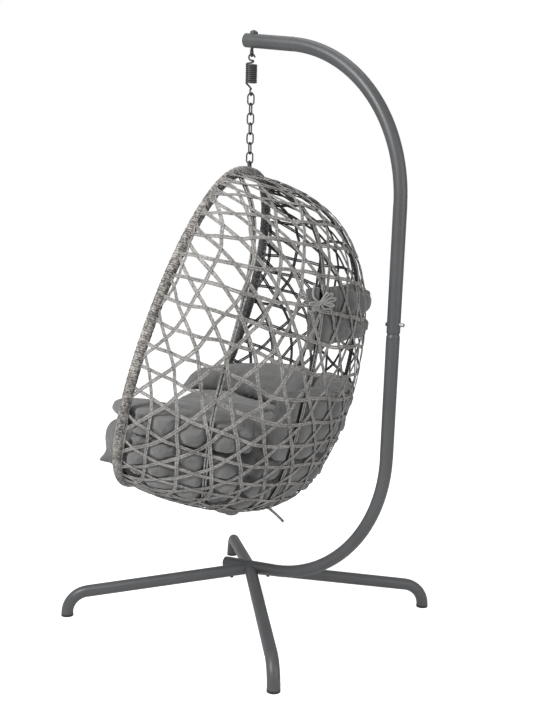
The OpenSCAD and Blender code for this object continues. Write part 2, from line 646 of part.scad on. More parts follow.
lower_post();
upper_post();
stub_pair(1);  // stub_pair_right
stub_pair(-1);  // stub_pair_left
for (i = [0:3]) leg(leg_angles[i]);
foot_caps();
leg_bolts();
run_end_cap();
arm_end_cap();
post_bolt();
post_nut();
eye_bolt();
dome_nut();
spring();
for (i = [1:link_count]) chain_link(i);
hanging_loop();
rim_tube();
rim_wrap();
rib(rib_inner, -1);  // rib_inner_right
rib(rib_inner, 1);  // rib_inner_left
rib(rib_outer, -1);  // rib_outer_right
rib(rib_outer, 1);  // rib_outer_left
woven_shell();
seat_cushion();
arm_pad(-1);  // arm_pad_right
arm_pad(1);  // arm_pad_left
back_pad();
head_pillow();
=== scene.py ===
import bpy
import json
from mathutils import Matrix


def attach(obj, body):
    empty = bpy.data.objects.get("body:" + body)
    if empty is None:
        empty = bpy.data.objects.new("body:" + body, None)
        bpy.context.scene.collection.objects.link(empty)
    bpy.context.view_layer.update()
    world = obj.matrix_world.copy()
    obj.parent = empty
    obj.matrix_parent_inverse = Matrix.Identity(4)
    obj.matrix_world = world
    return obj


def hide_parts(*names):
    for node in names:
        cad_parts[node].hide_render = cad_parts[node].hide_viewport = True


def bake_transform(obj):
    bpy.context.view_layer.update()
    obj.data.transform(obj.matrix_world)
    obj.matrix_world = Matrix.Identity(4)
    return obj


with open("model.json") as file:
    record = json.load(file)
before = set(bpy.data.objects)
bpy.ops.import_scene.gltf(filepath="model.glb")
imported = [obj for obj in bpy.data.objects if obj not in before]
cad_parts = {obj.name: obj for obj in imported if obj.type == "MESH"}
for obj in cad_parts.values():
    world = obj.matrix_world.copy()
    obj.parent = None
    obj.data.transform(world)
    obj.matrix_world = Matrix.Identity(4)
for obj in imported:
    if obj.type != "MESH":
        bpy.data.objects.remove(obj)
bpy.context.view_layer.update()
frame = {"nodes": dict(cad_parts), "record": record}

import json
import math

import bpy
import numpy as np
from mathutils import Matrix, Vector, kdtree, noise

nodes = frame["nodes"]
scene = bpy.context.scene

# ---------------------------------------------------------------- places and sizes, in metres

HUB = np.array([-0.020, -0.040, 0.0])   # the middle of the base, on the floor
HANG = HUB + [0.0, -0.040, 0.0]         # the foot of the upright axis that the basket hangs on
TURN = math.radians(19.7 - 90)          # how the basket is turned about that axis
RIM_TOP = 1.5191
# the mouth's width and height, how far its foot stands out, its bow, and the back's depth
MOUTH_W, MOUTH_H, MOUTH_RUN, MOUTH_BOW, BACK_DEPTH = 0.920, 1.075, 0.393, 0.260, 0.400
MOUTH_PEAK, MOUTH_ROUND = 0.73, 0.53    # these shape the mouth's curve from its top to its foot
SWELL = math.radians(20)                # how far the sides swell behind the mouth, along their curve
WALL_T, RIB_D, WRAP_D = 0.004, 0.012, 0.034
FLAT_PLAY = 0.0025                      # room for the flats of the CAD's wall, inside its true curve
PLAY = 0.0003
# control points of the back's curve, as shares of the back's depth and of the mouth's height
BACK_SHAPE = [(-0.08, 0.02), (-2.33, 0.08), (-0.4, 0.7), (-1.05, 1.29), (-0.3, 1.05)]
# a rib: how far round its ends and its middle stand, the curve between, and the room under it
RIBS = {"inner": (0.08, 0.315, 1.5, 0.0013), "outer": (0.2, 0.655, 0.75, 0.0012)}

mouth_path = np.array([[0, RIM_TOP], [MOUTH_BOW, RIM_TOP - 0.8 * MOUTH_H], [MOUTH_RUN, RIM_TOP - MOUTH_H]])
back_path = np.array([[0, RIM_TOP]] + [[x * BACK_DEPTH, RIM_TOP - y * MOUTH_H] for x, y in BACK_SHAPE]
                     + [[MOUTH_RUN, RIM_TOP - MOUTH_H]])


def bezier(p, t):
    """Points of the curve that has p as its control points."""
    p = np.asarray(p)[:, None, :] * np.ones((1, len(t), 1))
    while len(p) > 1:
        p = p[:-1] * (1 - t)[None, :, None] + p[1:] * t[None, :, None]
    return p[0]


def mouth_half(t):
    """Half the mouth's width, from its top at t = 0 to its foot at 1."""
    return MOUTH_W / 2 * np.maximum(0, np.sin(np.pi * np.clip(t, 0, 1) ** MOUTH_PEAK)) ** MOUTH_ROUND


def wall(t, u):
    """Points of the basket's outer skin, in the basket's own frame: x out of the mouth, y left, z up."""
    t, u = np.broadcast_arrays(np.atleast_1d(t).astype(float), np.atleast_1d(u).astype(float))
    m, b, s = bezier(mouth_path, t), bezier(back_path, t), math.sin(SWELL)
    c = (m + s * b) / (1 + s)
    a = u * (np.pi / 2 + SWELL)
    return np.stack([c[:, 0] + np.cos(a) * (b[:, 0] - c[:, 0]), np.sin(a) * mouth_half(t) / math.cos(SWELL),
                     c[:, 1] + np.cos(a) * (b[:, 1] - c[:, 1])], 1)


def unit(v):
    """The same directions, one long."""
    return v / np.maximum(1e-12, np.linalg.norm(v, axis=-1, keepdims=True))


def inward(t, u):
    """The direction square to the wall, into the basket."""
    e = 0.002
    t, u = np.broadcast_arrays(np.atleast_1d(t).astype(float), np.atleast_1d(u).astype(float))
    return unit(np.cross(wall(np.minimum(1, t + e), u) - wall(np.maximum(0, t - e), u),
                         wall(t, u + e) - wall(t, u - e)))


def steady_inward(t, u):
    """The same, kept off the wall's top, foot and edges, where it isn't defined."""
    return inward(np.clip(t, 0.004, 0.996), np.clip(u, -0.985, 0.985))


def inset(t, u, d):
    """Points that lie d inside the wall's outer skin."""
    d = np.asarray(d, float)
    return wall(t, u) + (d[:, None] if d.ndim else d) * inward(t, u)


def placed(p):
    """From the basket's own frame to the row's frame."""
    p = np.atleast_2d(p)
    c, s = math.cos(TURN), math.sin(TURN)
    return np.stack([c * p[:, 0] - s * p[:, 1], s * p[:, 0] + c * p[:, 1], p[:, 2]], 1) + HANG


# ---------------------------------------------------------------- making meshes

def add_mesh(name, verts, faces, materials, index=None):
    """A smooth-shaded object; index gives each face its material's number."""
    me = bpy.data.meshes.new(name)
    me.from_pydata([tuple(v) for v in verts], [], [tuple(f) for f in faces])
    me.update()
    me.polygons.foreach_set("use_smooth", [True] * len(me.polygons))
    for m in materials:
        me.materials.append(m)
    if index is not None:
        me.polygons.foreach_set("material_index", np.asarray(index, np.int32))
    o = bpy.data.objects.new(name, me)
    scene.collection.objects.link(o)
    return o


def make(name, verts, faces, body, materials, index=None):
    """The same, riding on a body and with a material slot."""
    o = add_mesh(name, verts, faces, materials, index)
    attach(o, body)
    return o


def tangents(p, closed=False):
    """The direction of a path at each of its points."""
    if closed:
        return unit(np.roll(p, -1, 0) - np.roll(p, 1, 0))
    return unit(np.gradient(p, axis=0))


def sweep(path, side, profile, closed=False):
    """Vertices and faces of a profile swept along a path: profile is (across, up) points, side points up."""
    d = tangents(path, closed)
    up = unit(side - (side * d).sum(1, keepdims=True) * d)
    across = np.cross(d, up)
    n, m = len(path), len(profile)
    pr = np.asarray(profile)
    v = (path[:, None] + across[:, None] * pr[None, :, :1] + up[:, None] * pr[None, :, 1:]).reshape(-1, 3)
    rows = n if closed else n - 1
    i = np.arange(rows)[:, None] * m
    j = np.arange(m)[None, :]
    a = i + j
    b = i + (j + 1) % m
    k = (np.arange(rows)[:, None] + 1) % n * m
    f = np.stack([a, b, k + (j + 1) % m, k + j], -1).reshape(-1, 4).tolist()
    if not closed:
        f.append(list(range(m))[::-1])
        f.append([(n - 1) * m + q for q in range(m)])
    return v, f


def joined(parts):
    """One list of vertices, of faces and of material numbers from several."""
    vs, fs, ms, o = [], [], [], 0
    for part in parts:
        v, f = part[:2]
        vs.append(v)
        fs += [[q + o for q in face] for face in f]
        ms += part[2] if len(part) > 2 else [0] * len(f)
        o += len(v)
    return np.concatenate(vs), fs, ms


def circle(r, n):
    """A round section of n points."""
    return [(r * math.cos(2 * math.pi * k / n), r * math.sin(2 * math.pi * k / n)) for k in range(n)]


def tree_of(p):
    """A search tree of points."""
    tree = kdtree.KDTree(len(p))
    for k, q in enumerate(p):
        tree.insert(q, k)
    tree.balance()
    return tree


def nearest(tree, points):
    """For each point, the number of the tree's point that is nearest."""
    return np.array([tree.find(q)[1] for q in points])


def distance(tree, points):
    """For each point, how far off the tree's nearest point is."""
    return np.array([tree.find(q)[2] for q in points])


def band(w, t):
    """A flat strand's section, with rounded edges."""
    a, b = w / 2, t / 2
    return [(-a, 0), (-a * 0.86, -b * 0.8), (0, -b), (a * 0.86, -b * 0.8),
            (a, 0), (a * 0.86, b * 0.8), (0, b), (-a * 0.86, b * 0.8)]


# ---------------------------------------------------------------- materials

def new_material(name):
    """A material, with its nodes, its links and its main shader."""
    m = bpy.data.materials.new(name)
    m.use_nodes = True
    return m, m.node_tree.nodes, m.node_tree.links, m.node_tree.nodes["Principled BSDF"]


def add(nd, kind, **values):
    """A node, with values for its inputs or its own settings."""
    n = nd.new(kind)
    for k, v in values.items():
        if k in n.inputs:
            n.inputs[k].default_value = v
        else:
            setattr(n, k, v)
    return n


def ramp(nd, stops):
    """A colour ramp with a colour at each of its places."""
    r = nd.new("ShaderNodeValToRGB")
    e = r.color_ramp.elements
    while len(e) < len(stops):
        e.new(0.5)
    for k, (p, c) in enumerate(stops):
        e[k].position = p
        e[k].color = (c[0], c[1], c[2], 1)
    return r


def grey(v, warm=0.0):
    """A grey, a little warmer or not."""
    return (v * (1 + warm), v, v * (1 - warm))


def coat(name, colour, rough, bump=0.0004, metal=0.0):
    """Powder coat and like finishes: a fine orange peel, and broad changes of gloss."""
    m, nd, lk, bs = new_material(name)
    co = add(nd, "ShaderNodeTexCoord")
    big = add(nd, "ShaderNodeTexNoise", Scale=9.0, Detail=4.0)
    fine = add(nd, "ShaderNodeTexNoise", Scale=900.0, Detail=2.0)
    lk.new(co.outputs["Object"], big.inputs["Vector"])
    lk.new(co.outputs["Object"], fine.inputs["Vector"])
    c = ramp(nd, [(0.3, [x * 0.92 for x in colour]), (0.7, [x * 1.08 for x in colour])])
    lk.new(big.outputs["Fac"], c.inputs["Fac"])
    lk.new(c.outputs["Color"], bs.inputs["Base Color"])
    r = add(nd, "ShaderNodeMapRange")
    r.inputs["To Min"].default_value = rough - 0.05
    r.inputs["To Max"].default_value = rough + 0.07
    lk.new(big.outputs["Fac"], r.inputs["Value"])
    lk.new(r.outputs["Result"], bs.inputs["Roughness"])
    b = add(nd, "ShaderNodeBump", Strength=0.25, Distance=bump)
    lk.new(fine.outputs["Fac"], b.inputs["Height"])
    lk.new(b.outputs["Normal"], bs.inputs["Normal"])
    bs.inputs["Metallic"].default_value = metal
    return m


def wicker(name, dark, mid, light, grain=160.0):
    """Plastic cane: mottled along its length, with fine grooves."""
    m, nd, lk, bs = new_material(name)
    co = add(nd, "ShaderNodeTexCoord")
    spots = add(nd, "ShaderNodeTexNoise", Scale=grain, Detail=3.0, Roughness=0.6)
    broad = add(nd, "ShaderNodeTexNoise", Scale=14.0, Detail=2.0)
    lk.new(co.outputs["Object"], spots.inputs["Vector"])
    lk.new(co.outputs["Object"], broad.inputs["Vector"])
    mix = add(nd, "ShaderNodeMath", operation="MULTIPLY_ADD")
    mix.inputs[1].default_value = 0.35
    lk.new(broad.outputs["Fac"], mix.inputs[0])
    lk.new(spots.outputs["Fac"], mix.inputs[2])
    c = ramp(nd, [(0.46, dark), (0.64, mid), (0.84, light)])
    lk.new(mix.outputs["Value"], c.inputs["Fac"])
    lk.new(c.outputs["Color"], bs.inputs["Base Color"])
    bs.inputs["Roughness"].default_value = 0.55
    b = add(nd, "ShaderNodeBump", Strength=0.5, Distance=0.0006)
    lk.new(spots.outputs["Fac"], b.inputs["Height"])
    lk.new(b.outputs["Normal"], bs.inputs["Normal"])
    return m


def cloth(name, low, high):
    """A plain woven cover: fine crossed threads, slight mottling and a soft sheen."""
    m, nd, lk, bs = new_material(name)
    co = add(nd, "ShaderNodeTexCoord")
    broad = add(nd, "ShaderNodeTexNoise", Scale=7.0, Detail=5.0, Roughness=0.6)
    lk.new(co.outputs["Object"], broad.inputs["Vector"])
    threads = []
    for axis in ("X", "Y", "Z"):
        w = add(nd, "ShaderNodeTexWave", Scale=260.0, Distortion=1.2, Detail=1.0)
        w.bands_direction = axis
        lk.new(co.outputs["Object"], w.inputs["Vector"])
        threads.append(w)
    s1 = add(nd, "ShaderNodeMath", operation="ADD")
    s2 = add(nd, "ShaderNodeMath", operation="ADD")
    lk.new(threads[0].outputs["Fac"], s1.inputs[0])
    lk.new(threads[1].outputs["Fac"], s1.inputs[1])
    lk.new(s1.outputs["Value"], s2.inputs[0])
    lk.new(threads[2].outputs["Fac"], s2.inputs[1])
    c = ramp(nd, [(0.3, low), (0.7, high)])
    lk.new(broad.outputs["Fac"], c.inputs["Fac"])
    lk.new(c.outputs["Color"], bs.inputs["Base Color"])
    bs.inputs["Roughness"].default_value = 0.9
    bs.inputs["Sheen Weight"].default_value = 0.25
    bs.inputs["Sheen Roughness"].default_value = 0.5
    b = add(nd, "ShaderNodeBump", Strength=0.35, Distance=0.0005)
    lk.new(s2.outputs["Value"], b.inputs["Height"])
    lk.new(b.outputs["Normal"], bs.inputs["Normal"])
    return m


POWDER = coat("powder_coat", (0.078, 0.080, 0.083), 0.40)
DARK_STEEL = coat("dark_steel", grey(0.066), 0.40, bump=0.0002, metal=0.3)
BLACK_PLASTIC = coat("black_plastic", grey(0.022), 0.5)
BRIGHT = coat("bright_steel", grey(0.52), 0.28, bump=0.0001, metal=1.0)
CANE = wicker("cane", grey(0.105, 0.04), grey(0.215, 0.04), grey(0.37, 0.04))
# near-black cane for the strands' inward faces: painted shade on the basket's inner side
CANE_PAINTED_SHADE = wicker("cane_painted_shade", grey(0.008), grey(0.017), grey(0.045))
CANE_RIM = wicker("cane_rim", grey(0.035, 0.06), grey(0.16, 0.06), grey(0.44, 0.06), grain=110.0)
# the rim's cane where it looks in over the seat, painted darker as shade
CANE_RIM_PAINTED_SHADE = wicker("cane_rim_painted_shade", grey(0.012), grey(0.040), grey(0.13), grain=130.0)
COVER = cloth("cushion_cover", grey(0.128, 0.01), grey(0.170, 0.01))
TAPE = cloth("tie_tape", grey(0.27, 0.01), grey(0.36, 0.01))

FINISH = {"powder_coat": POWDER, "dark_steel": DARK_STEEL, "black_plastic": BLACK_PLASTIC,
          "bright_steel": BRIGHT, "wicker": CANE, "cushion_fabric": COVER}
for sub in frame["record"]["subparts"]:
    o = nodes[sub["node"]]
    o.data.materials.clear()
    o.data.materials.append(FINISH[sub["material_slot"]])
    o.data.polygons.foreach_set("use_smooth", [True] * len(o.data.polygons))
    o.data.set_sharp_from_angle(angle=math.radians(35))

# ---------------------------------------------------------------- the open weave

SPACING = 0.086            # between one row of the weave and the next
# how much the rows fall towards the back, at four heights
TILT_AT, TILTS = [0.60, 0.85, 1.05, 1.30], [0.30, 0.42, 0.31, 0.08]
# from this share of the levels, which is this high, the rows run together under the basket
LOW_FROM, LOW_LEVEL = 0.8, 0.43
MIDDLE = slice(8, 40)      # the columns that the length down the wall is taken from
ACROSS_SEED, DOWN_SEED = 1.3, 5.9
US = np.linspace(0, 1, 49)
TS = np.linspace(0, 1, 601)
LEVELS = np.linspace(0, 1, 200)


def weave_map():
    """The wall laid flat: for each level of the weave, which t it has at each u, how far along the
    wall it lies, and how far round the wall each u is."""
    t_of = np.zeros((len(LEVELS), len(US)))
    for k, u in enumerate(US):
        p = wall(TS, np.full(len(TS), u))
        h = p[:, 2] - np.interp(p[:, 2], TILT_AT, TILTS) * p[:, 0]
        h = np.minimum.accumulate(h) - np.arange(len(TS)) * 1e-7
        top = h[0]
        want = top - (top - LOW_LEVEL) * np.clip(LEVELS / LOW_FROM, 0, 1)
        t = np.interp(-want, -h, TS)
        low = np.clip((LEVELS - LOW_FROM) / (1 - LOW_FROM), 0, 1)
        t_of[:, k] = t + (1 - t) * low
    pts = np.array([wall(t_of[i], US) for i in range(len(LEVELS))])
    across = np.concatenate([np.zeros((len(LEVELS), 1)),
                             np.cumsum(np.linalg.norm(np.diff(pts, axis=1), axis=2), 1)], 1)
    steps = np.linalg.norm(np.diff(pts, axis=0), axis=2)
    along = np.concatenate([[0], np.cumsum(steps[:, MIDDLE].mean(1))])
    return t_of, across, along


T_OF, ACROSS, ALONG = weave_map()
WIDTH = ACROSS[:, -1]


def on_wall(x, h):
    """The t and u of points given by how far round and how far down the wall they are, and which
    of them lie on it."""
    ok = (h > ALONG[1]) & (h < ALONG[-2])
    lv = np.interp(h, ALONG, np.arange(len(LEVELS)))
    i = np.clip(lv.astype(int), 0, len(LEVELS) - 2)
    w = lv - i
    ax = np.abs(x)
    t = np.zeros(len(x))
    u = np.zeros(len(x))
    for k in range(len(x)):
        row = ACROSS[i[k]] * (1 - w[k]) + ACROSS[i[k] + 1] * w[k]
        tr = T_OF[i[k]] * (1 - w[k]) + T_OF[i[k] + 1] * w[k]
        ok[k] &= ax[k] < row[-1] + 0.001
        u[k] = np.interp(ax[k], row, US)
        t[k] = np.interp(ax[k], row, tr)
    return t, u * np.sign(x + 1e-12), ok


def wander(x, h, seed):
    """Small bends that hand weaving leaves, in metres."""
    return np.array([(noise.noise(Vector((a * 4.1 + seed, b * 4.1, seed * 3.7))) * 0.026
                      + noise.noise(Vector((a * 13 + seed, b * 13, seed))) * 0.006) for a, b in zip(x, h)])


def weave_lines():
    """Each strand as how far round and how far down it runs, and which side of the wall it takes."""
    step = 0.008
    d = SPACING
    a = 2 * d / math.sqrt(3)
    deep = ALONG[-1]
    wide = WIDTH.max()
    out = []
    for n in range(1, int(deep / d) + 1):
        x = np.arange(-wide, wide, step)
        h = np.full(len(x), n * d)
        lift = np.cos(2 * np.pi * (x - (n - 0.5) * a / 2) / a)
        out.append((x, h, lift))
    for sign in (1, -1):
        reach = deep + math.sqrt(3) * wide
        for i in range(-int(reach / (2 * d)) - 1, int(reach / (2 * d)) + 1):
            c = 2 * d * i + d / 2
            h = np.arange(0, deep, step * math.sin(math.pi / 3))
            x = sign * (h - c) / math.sqrt(3)
            if np.abs(x).min() > wide:
                continue
            lift = -sign * np.cos(2 * np.pi * h / d)
            out.append((x, h, lift))
    return out


def runs(ok, least):
    """Starts and ends of the stretches that are on the wall and have at least so many points."""
    start = None
    for k, v in enumerate(list(ok) + [False]):
        if v and start is None:
            start = k
        if not v and start is not None:
            if k - start >= least:
                yield start, k
            start = None


STRAND_W, STRAND_T = 0.0058, 0.0019    # one of the two flat canes of a strand
LIFT = 0.0013                          # how far a strand rises and dips where it crosses others
LEAST_RUN = 6
# the loose end under the basket: where it leaves the wall, where it goes, its bend and its face
LOOSE_FROM, LOOSE_END = (0.806, -0.07, -0.002), np.array([[-0.056, -0.075, -0.080]])
LOOSE_BEND, LOOSE_FACE = [0.0, 0.0, 0.016], np.array([-0.75, -0.58, -0.3])
LOOSE_POINTS, LOOSE_SEED = 14, 99


def strand_parts(p, normal, lift, seed):
    """A strand is two flat canes side by side; normal points into the basket, and so does the first half of
    a cane's section, which is painted near-black as shade."""
    across = np.cross(tangents(p), normal)
    section = band(STRAND_W, STRAND_T)
    parts = []
    for s in (-1, 1):
        apart = np.array([0.53 + 0.13 * noise.noise(Vector((seed * 7.7, k * 0.06, s * 3.1)))
                          for k in range(len(p))])
        q = p + across * (s * STRAND_W * apart)[:, None] + normal * (WALL_T / 2 - lift * LIFT)[:, None]
        v, f = sweep(q, -normal, section)
        # the inward half of each cane's section and its end caps are painted near-black, as shade
        inside = [int(k % len(section) < len(section) / 2) for k in range(len(f) - 2)]
        parts.append((v, f, inside + [1, 1]))
    return parts


def build_weave():
    """All strands of the open weave, and the loose end of one, which hangs out under the basket."""
    parts = []
    for number, (x, h, lift) in enumerate(weave_lines()):
        x2 = x + wander(x, h, ACROSS_SEED)
        h2 = h + wander(x, h, DOWN_SEED)
        t, u, ok = on_wall(x2, h2)
        for i, j in runs(ok, LEAST_RUN):
            p = wall(t[i:j], u[i:j])
            n = steady_inward(t[i:j], u[i:j])
            parts += strand_parts(placed(p), placed(n) - HANG, lift[i:j], number)
    tip = np.linspace(0, 1, LOOSE_POINTS)[:, None]
    tail = inset(*LOOSE_FROM) + LOOSE_END * tip + LOOSE_BEND * (tip * (1 - tip))
    face = np.tile(LOOSE_FACE, (LOOSE_POINTS, 1))
    parts += strand_parts(placed(tail), face, np.zeros(LOOSE_POINTS), LOOSE_SEED)
    v, f, m = joined(parts)
    return make("weave", v, f, "basket", [CANE, CANE_PAINTED_SHADE], m)


weave = build_weave()
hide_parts("woven_shell")


# ---------------------------------------------------------------- rim

MOUTH_OUT = unit(np.array([MOUTH_H, 0.0, MOUTH_RUN]))
RIM_CORE_R, RIM_CANE_R = 0.0148, 0.0158    # of the core, and to the middle of the cane wound on it
RIM_CANE_W, RIM_CANE_T, RIM_PITCH = 0.0068, 0.0022, 0.0074
RIM_UNEVEN, RIM_PER_TURN = 0.0007, 14
RIM_PAINTED_SHADE_FROM = 0.42    # how much a face looks at the mouth's middle, from which it is painted dark as shade


def rim_points(n):
    """Points once round the mouth."""
    c = np.linspace(0, 2 * np.pi, n, endpoint=False)
    t = (1 - np.cos(c)) / 2
    u = np.where(np.sin(c) >= 0, 1.0, -1.0)
    return wall(t, u)


def even(p, step, closed=True):
    """The same path with evenly spaced points, and its length."""
    q = np.vstack([p, p[:1]]) if closed else p
    s = np.concatenate([[0], np.cumsum(np.linalg.norm(np.diff(q, axis=0), axis=1))])
    n = int(s[-1] / step)
    w = np.linspace(0, s[-1], n, endpoint=not closed)
    return np.stack([np.interp(w, s, q[:, k]) for k in range(3)], 1), s[-1]


def build_rim():
    """The rim's cane: one flat cane wound round and round the tube, its turns leaning a little."""
    core, length = even(rim_points(2000), 0.02)
    d = tangents(core, True)
    side = unit(MOUTH_OUT - (d @ MOUTH_OUT)[:, None] * d)
    line = placed(core)
    parts = [sweep(line, placed(side) - HANG, circle(RIM_CORE_R, 20), closed=True)]
    n = round(length / RIM_PITCH) * RIM_PER_TURN
    s = np.linspace(0, len(core), n, endpoint=False)
    i = s.astype(int) % len(core)
    j = (i + 1) % len(core)
    w = (s - s.astype(int))[:, None]
    centre = core[i] * (1 - w) + core[j] * w
    along = unit(d[i] * (1 - w) + d[j] * w)
    front = unit(side[i] * (1 - w) + side[j] * w)
    angle = 2 * np.pi * np.arange(n) / RIM_PER_TURN
    out = np.cos(angle)[:, None] * front + np.sin(angle)[:, None] * np.cross(along, front)
    r = RIM_CANE_R + RIM_UNEVEN * np.sin(angle * 0.37) * np.sin(angle * 0.113)
    p = centre + out * r[:, None]
    parts.append(sweep(placed(p), placed(out) - HANG, band(RIM_CANE_W, RIM_CANE_T), closed=True))
    v, f, _ = joined(parts)
    # what looks in over the seat is painted darker, as shade on the rim's inner side
    middle = placed(rim_points(400)).mean(0)
    spots = np.array([v[face[:4]].mean(0) for face in f])
    near = nearest(tree_of(line), spots)
    looks_in = (unit(spots - line[near]) * unit(middle - line[near])).sum(1)
    dark = (looks_in > RIM_PAINTED_SHADE_FROM).astype(int)
    return make("rim_cane", v, f, "basket", [CANE_RIM, CANE_RIM_PAINTED_SHADE], dark)


rim = build_rim()
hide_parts("rim_wrap")

# ---------------------------------------------------------------- ribs

RIM_TREE = tree_of(rim_points(800))
RIB_CORE_R, RIB_STEP, RIB_PITCH = 0.0050, 0.0018, 0.013
RIB_WIND_R, RIB_WIND_W, RIB_WIND_T = 0.0054, 0.0100, 0.0012    # the cane wound round a rib, near-black: partly the rib's own dark colour, partly painted shade
RIB_CANE_W, RIB_CANE_T, RIB_CANE_OUT = 0.0054, 0.0016, 0.0056  # each light cane along its outside
RIB_CANE_ASIDE, RIB_CANE_SWAY = 0.0042, 0.0028


def rib_line(kind, side):
    """A rib's middle line between the places where it meets the rim, and the inward directions."""
    ends, middle, power, room = RIBS[kind]
    ts = np.linspace(0.002, 0.998, 500)
    us = side * (ends + (middle - ends) * np.sin(np.pi * ts) ** power)
    p = inset(ts, us, WALL_T + room + RIB_D / 2)
    free = distance(RIM_TREE, p) > (WRAP_D + RIB_D) / 2 + PLAY
    n = inward(ts, us)
    q, _ = even(p[free], 0.006, closed=False)
    return q, n[free][nearest(tree_of(p[free]), q)]


def build_rib(kind, side):
    """A steel rib wound with near-black cane, partly its own dark colour and partly painted shade, with
    light canes along its outside.
    """
    p, n = rib_line(kind, side)
    across = np.cross(tangents(p), n)
    v, f = sweep(placed(p), placed(n) - HANG, circle(RIB_CORE_R, 12))
    # the core and the wound cane take the near-black cane, partly painted shade
    parts = [(v, f, [1] * len(f))]
    fine, _ = even(p, RIB_STEP, closed=False)
    at = nearest(tree_of(p), fine)
    angle = 2 * np.pi * np.arange(len(fine)) * RIB_STEP / RIB_PITCH
    out = np.cos(angle)[:, None] * n[at] + np.sin(angle)[:, None] * across[at]
    v, f = sweep(placed(fine + out * RIB_WIND_R), placed(out) - HANG, band(RIB_WIND_W, RIB_WIND_T))
    parts.append((v, f, [1] * len(f)))
    for k, s in enumerate((-1, 1)):
        sway = np.array([noise.noise(Vector((i * 0.035, k * 5.0, side * 2.0))) for i in range(len(p))])
        q = p + across * (s * RIB_CANE_ASIDE + sway * RIB_CANE_SWAY)[:, None] - n * RIB_CANE_OUT
        v, f = sweep(placed(q), placed(-n) - HANG, band(RIB_CANE_W, RIB_CANE_T))
        parts.append((v, f, [0] * len(f)))
    v, f, m = joined(parts)
    name = "rib_%s_%s" % (kind, "left" if side > 0 else "right")
    o = make(name + "_cane", v, f, "basket", [CANE, CANE_PAINTED_SHADE], m)
    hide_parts(name)
    return p


RIB_LINES = [build_rib(kind, side) for kind in RIBS for side in (-1, 1)]

# ---------------------------------------------------------------- the wall as the cushions meet it

ROWS, COLS = 400, 385
CANE_FACE = 0.0068     # how far inside the outer skin a cushion lies on a strand
RIB_FACE = 0.0183      # on a rib
RIM_FACE = 0.0194      # and beside the rim
# how far from a strand and from the rim the cushions are held, and from where they are free
BY_STRAND, BY_RIM = (0.006, 0.030), (0.024, 0.050)
# how much a place has to face the wall to be pressed, and how far off it or past it none is
FACING, OFF_WALL, PAST_WALL = (0.10, 0.50), (0.030, 0.060), (0.002, 0.006)


def smooth(x, a, b):
    """0 up to a and 1 from b, with a smooth change between."""
    s = np.clip((x - a) / (b - a), 0, 1)
    return s * s * (3 - 2 * s)


def from_lines(x, h):
    """How far a place of the flat wall lies from the nearest strand."""
    d = SPACING
    x, h = x - wander(x, h, ACROSS_SEED), h - wander(x, h, DOWN_SEED)
    near = np.abs(h - d * np.maximum(1, np.round(h / d)))
    for sign in (1, -1):
        q = h - sign * math.sqrt(3) * x - d / 2
        near = np.minimum(near, np.abs(q - 2 * d * np.round(q / (2 * d))) / 2)
    return near


def wall_field():
    """A fine grid over the wall: its points and inward directions, how far each lies from a strand,
    a rib and the rim, and a slow change that makes some openings fuller than others."""
    rows = np.linspace(0, len(LEVELS) - 1, ROWS)
    cols = np.linspace(-1, 1, COLS)
    i = np.minimum(rows.astype(int), len(LEVELS) - 2)
    w = (rows - i)[:, None]
    t = np.array([np.interp(np.abs(cols), US, r) for r in T_OF[i] * (1 - w) + T_OF[i + 1] * w])
    x = np.array([np.interp(np.abs(cols), US, r) for r in ACROSS[i] * (1 - w) + ACROSS[i + 1] * w])
    x = (x * np.sign(cols)).ravel()
    h = np.repeat(np.interp(rows, np.arange(len(LEVELS)), ALONG), COLS)
    t, u = t.ravel(), np.tile(cols, ROWS)
    p = wall(t, u)
    n = steady_inward(t, u)
    strand = from_lines(x, h)
    far = distance(tree_of(np.concatenate(RIB_LINES)), p)
    rib = np.sqrt(np.maximum(0, far ** 2 - (WALL_T + RIB_D / 2) ** 2))
    rim_far = distance(RIM_TREE, p)
    slow = np.array([noise.noise(Vector((a * 9, b * 9, 2.5))) for a, b in zip(x, h)])
    return p, n, strand, rib, rim_far, slow


FIELD = wall_field()
FIELD_TREE = tree_of(FIELD[0])


def on_grid(v):
    """The nearest places of the grid, as fractions of its rows and columns."""
    k = nearest(FIELD_TREE, v)
    i, j = k // COLS, k % COLS
    p = FIELD[0].reshape(ROWS, COLS, 3)
    i2, j2 = np.clip(i, 1, ROWS - 2), np.clip(j, 1, COLS - 2)
    a = (p[i2 + 1, j2] - p[i2 - 1, j2]) / 2
    b = (p[i2, j2 + 1] - p[i2, j2 - 1]) / 2
    r = v - p[i, j]
    aa, bb, ab = (a * a).sum(1), (b * b).sum(1), (a * b).sum(1)
    ra, rb = (r * a).sum(1), (r * b).sum(1)
    det = np.maximum(1e-12, aa * bb - ab * ab)
    di = np.clip((ra * bb - rb * ab) / det, -1, 1)
    dj = np.clip((rb * aa - ra * ab) / det, -1, 1)
    return np.clip(i + di, 0, ROWS - 1.001), np.clip(j + dj, 0, COLS - 1.001)


def sample(values, fi, fj):
    """Values of the grid, read between its rows and columns."""
    g = values.reshape(ROWS, COLS, -1)
    i, j = fi.astype(int), fj.astype(int)
    a, b = (fi - i)[:, None], (fj - j)[:, None]
    out = ((g[i, j] * (1 - b) + g[i, j + 1] * b) * (1 - a)
           + (g[i + 1, j] * (1 - b) + g[i + 1, j + 1] * b) * a)
    return out[:, 0] if out.shape[1] == 1 else out


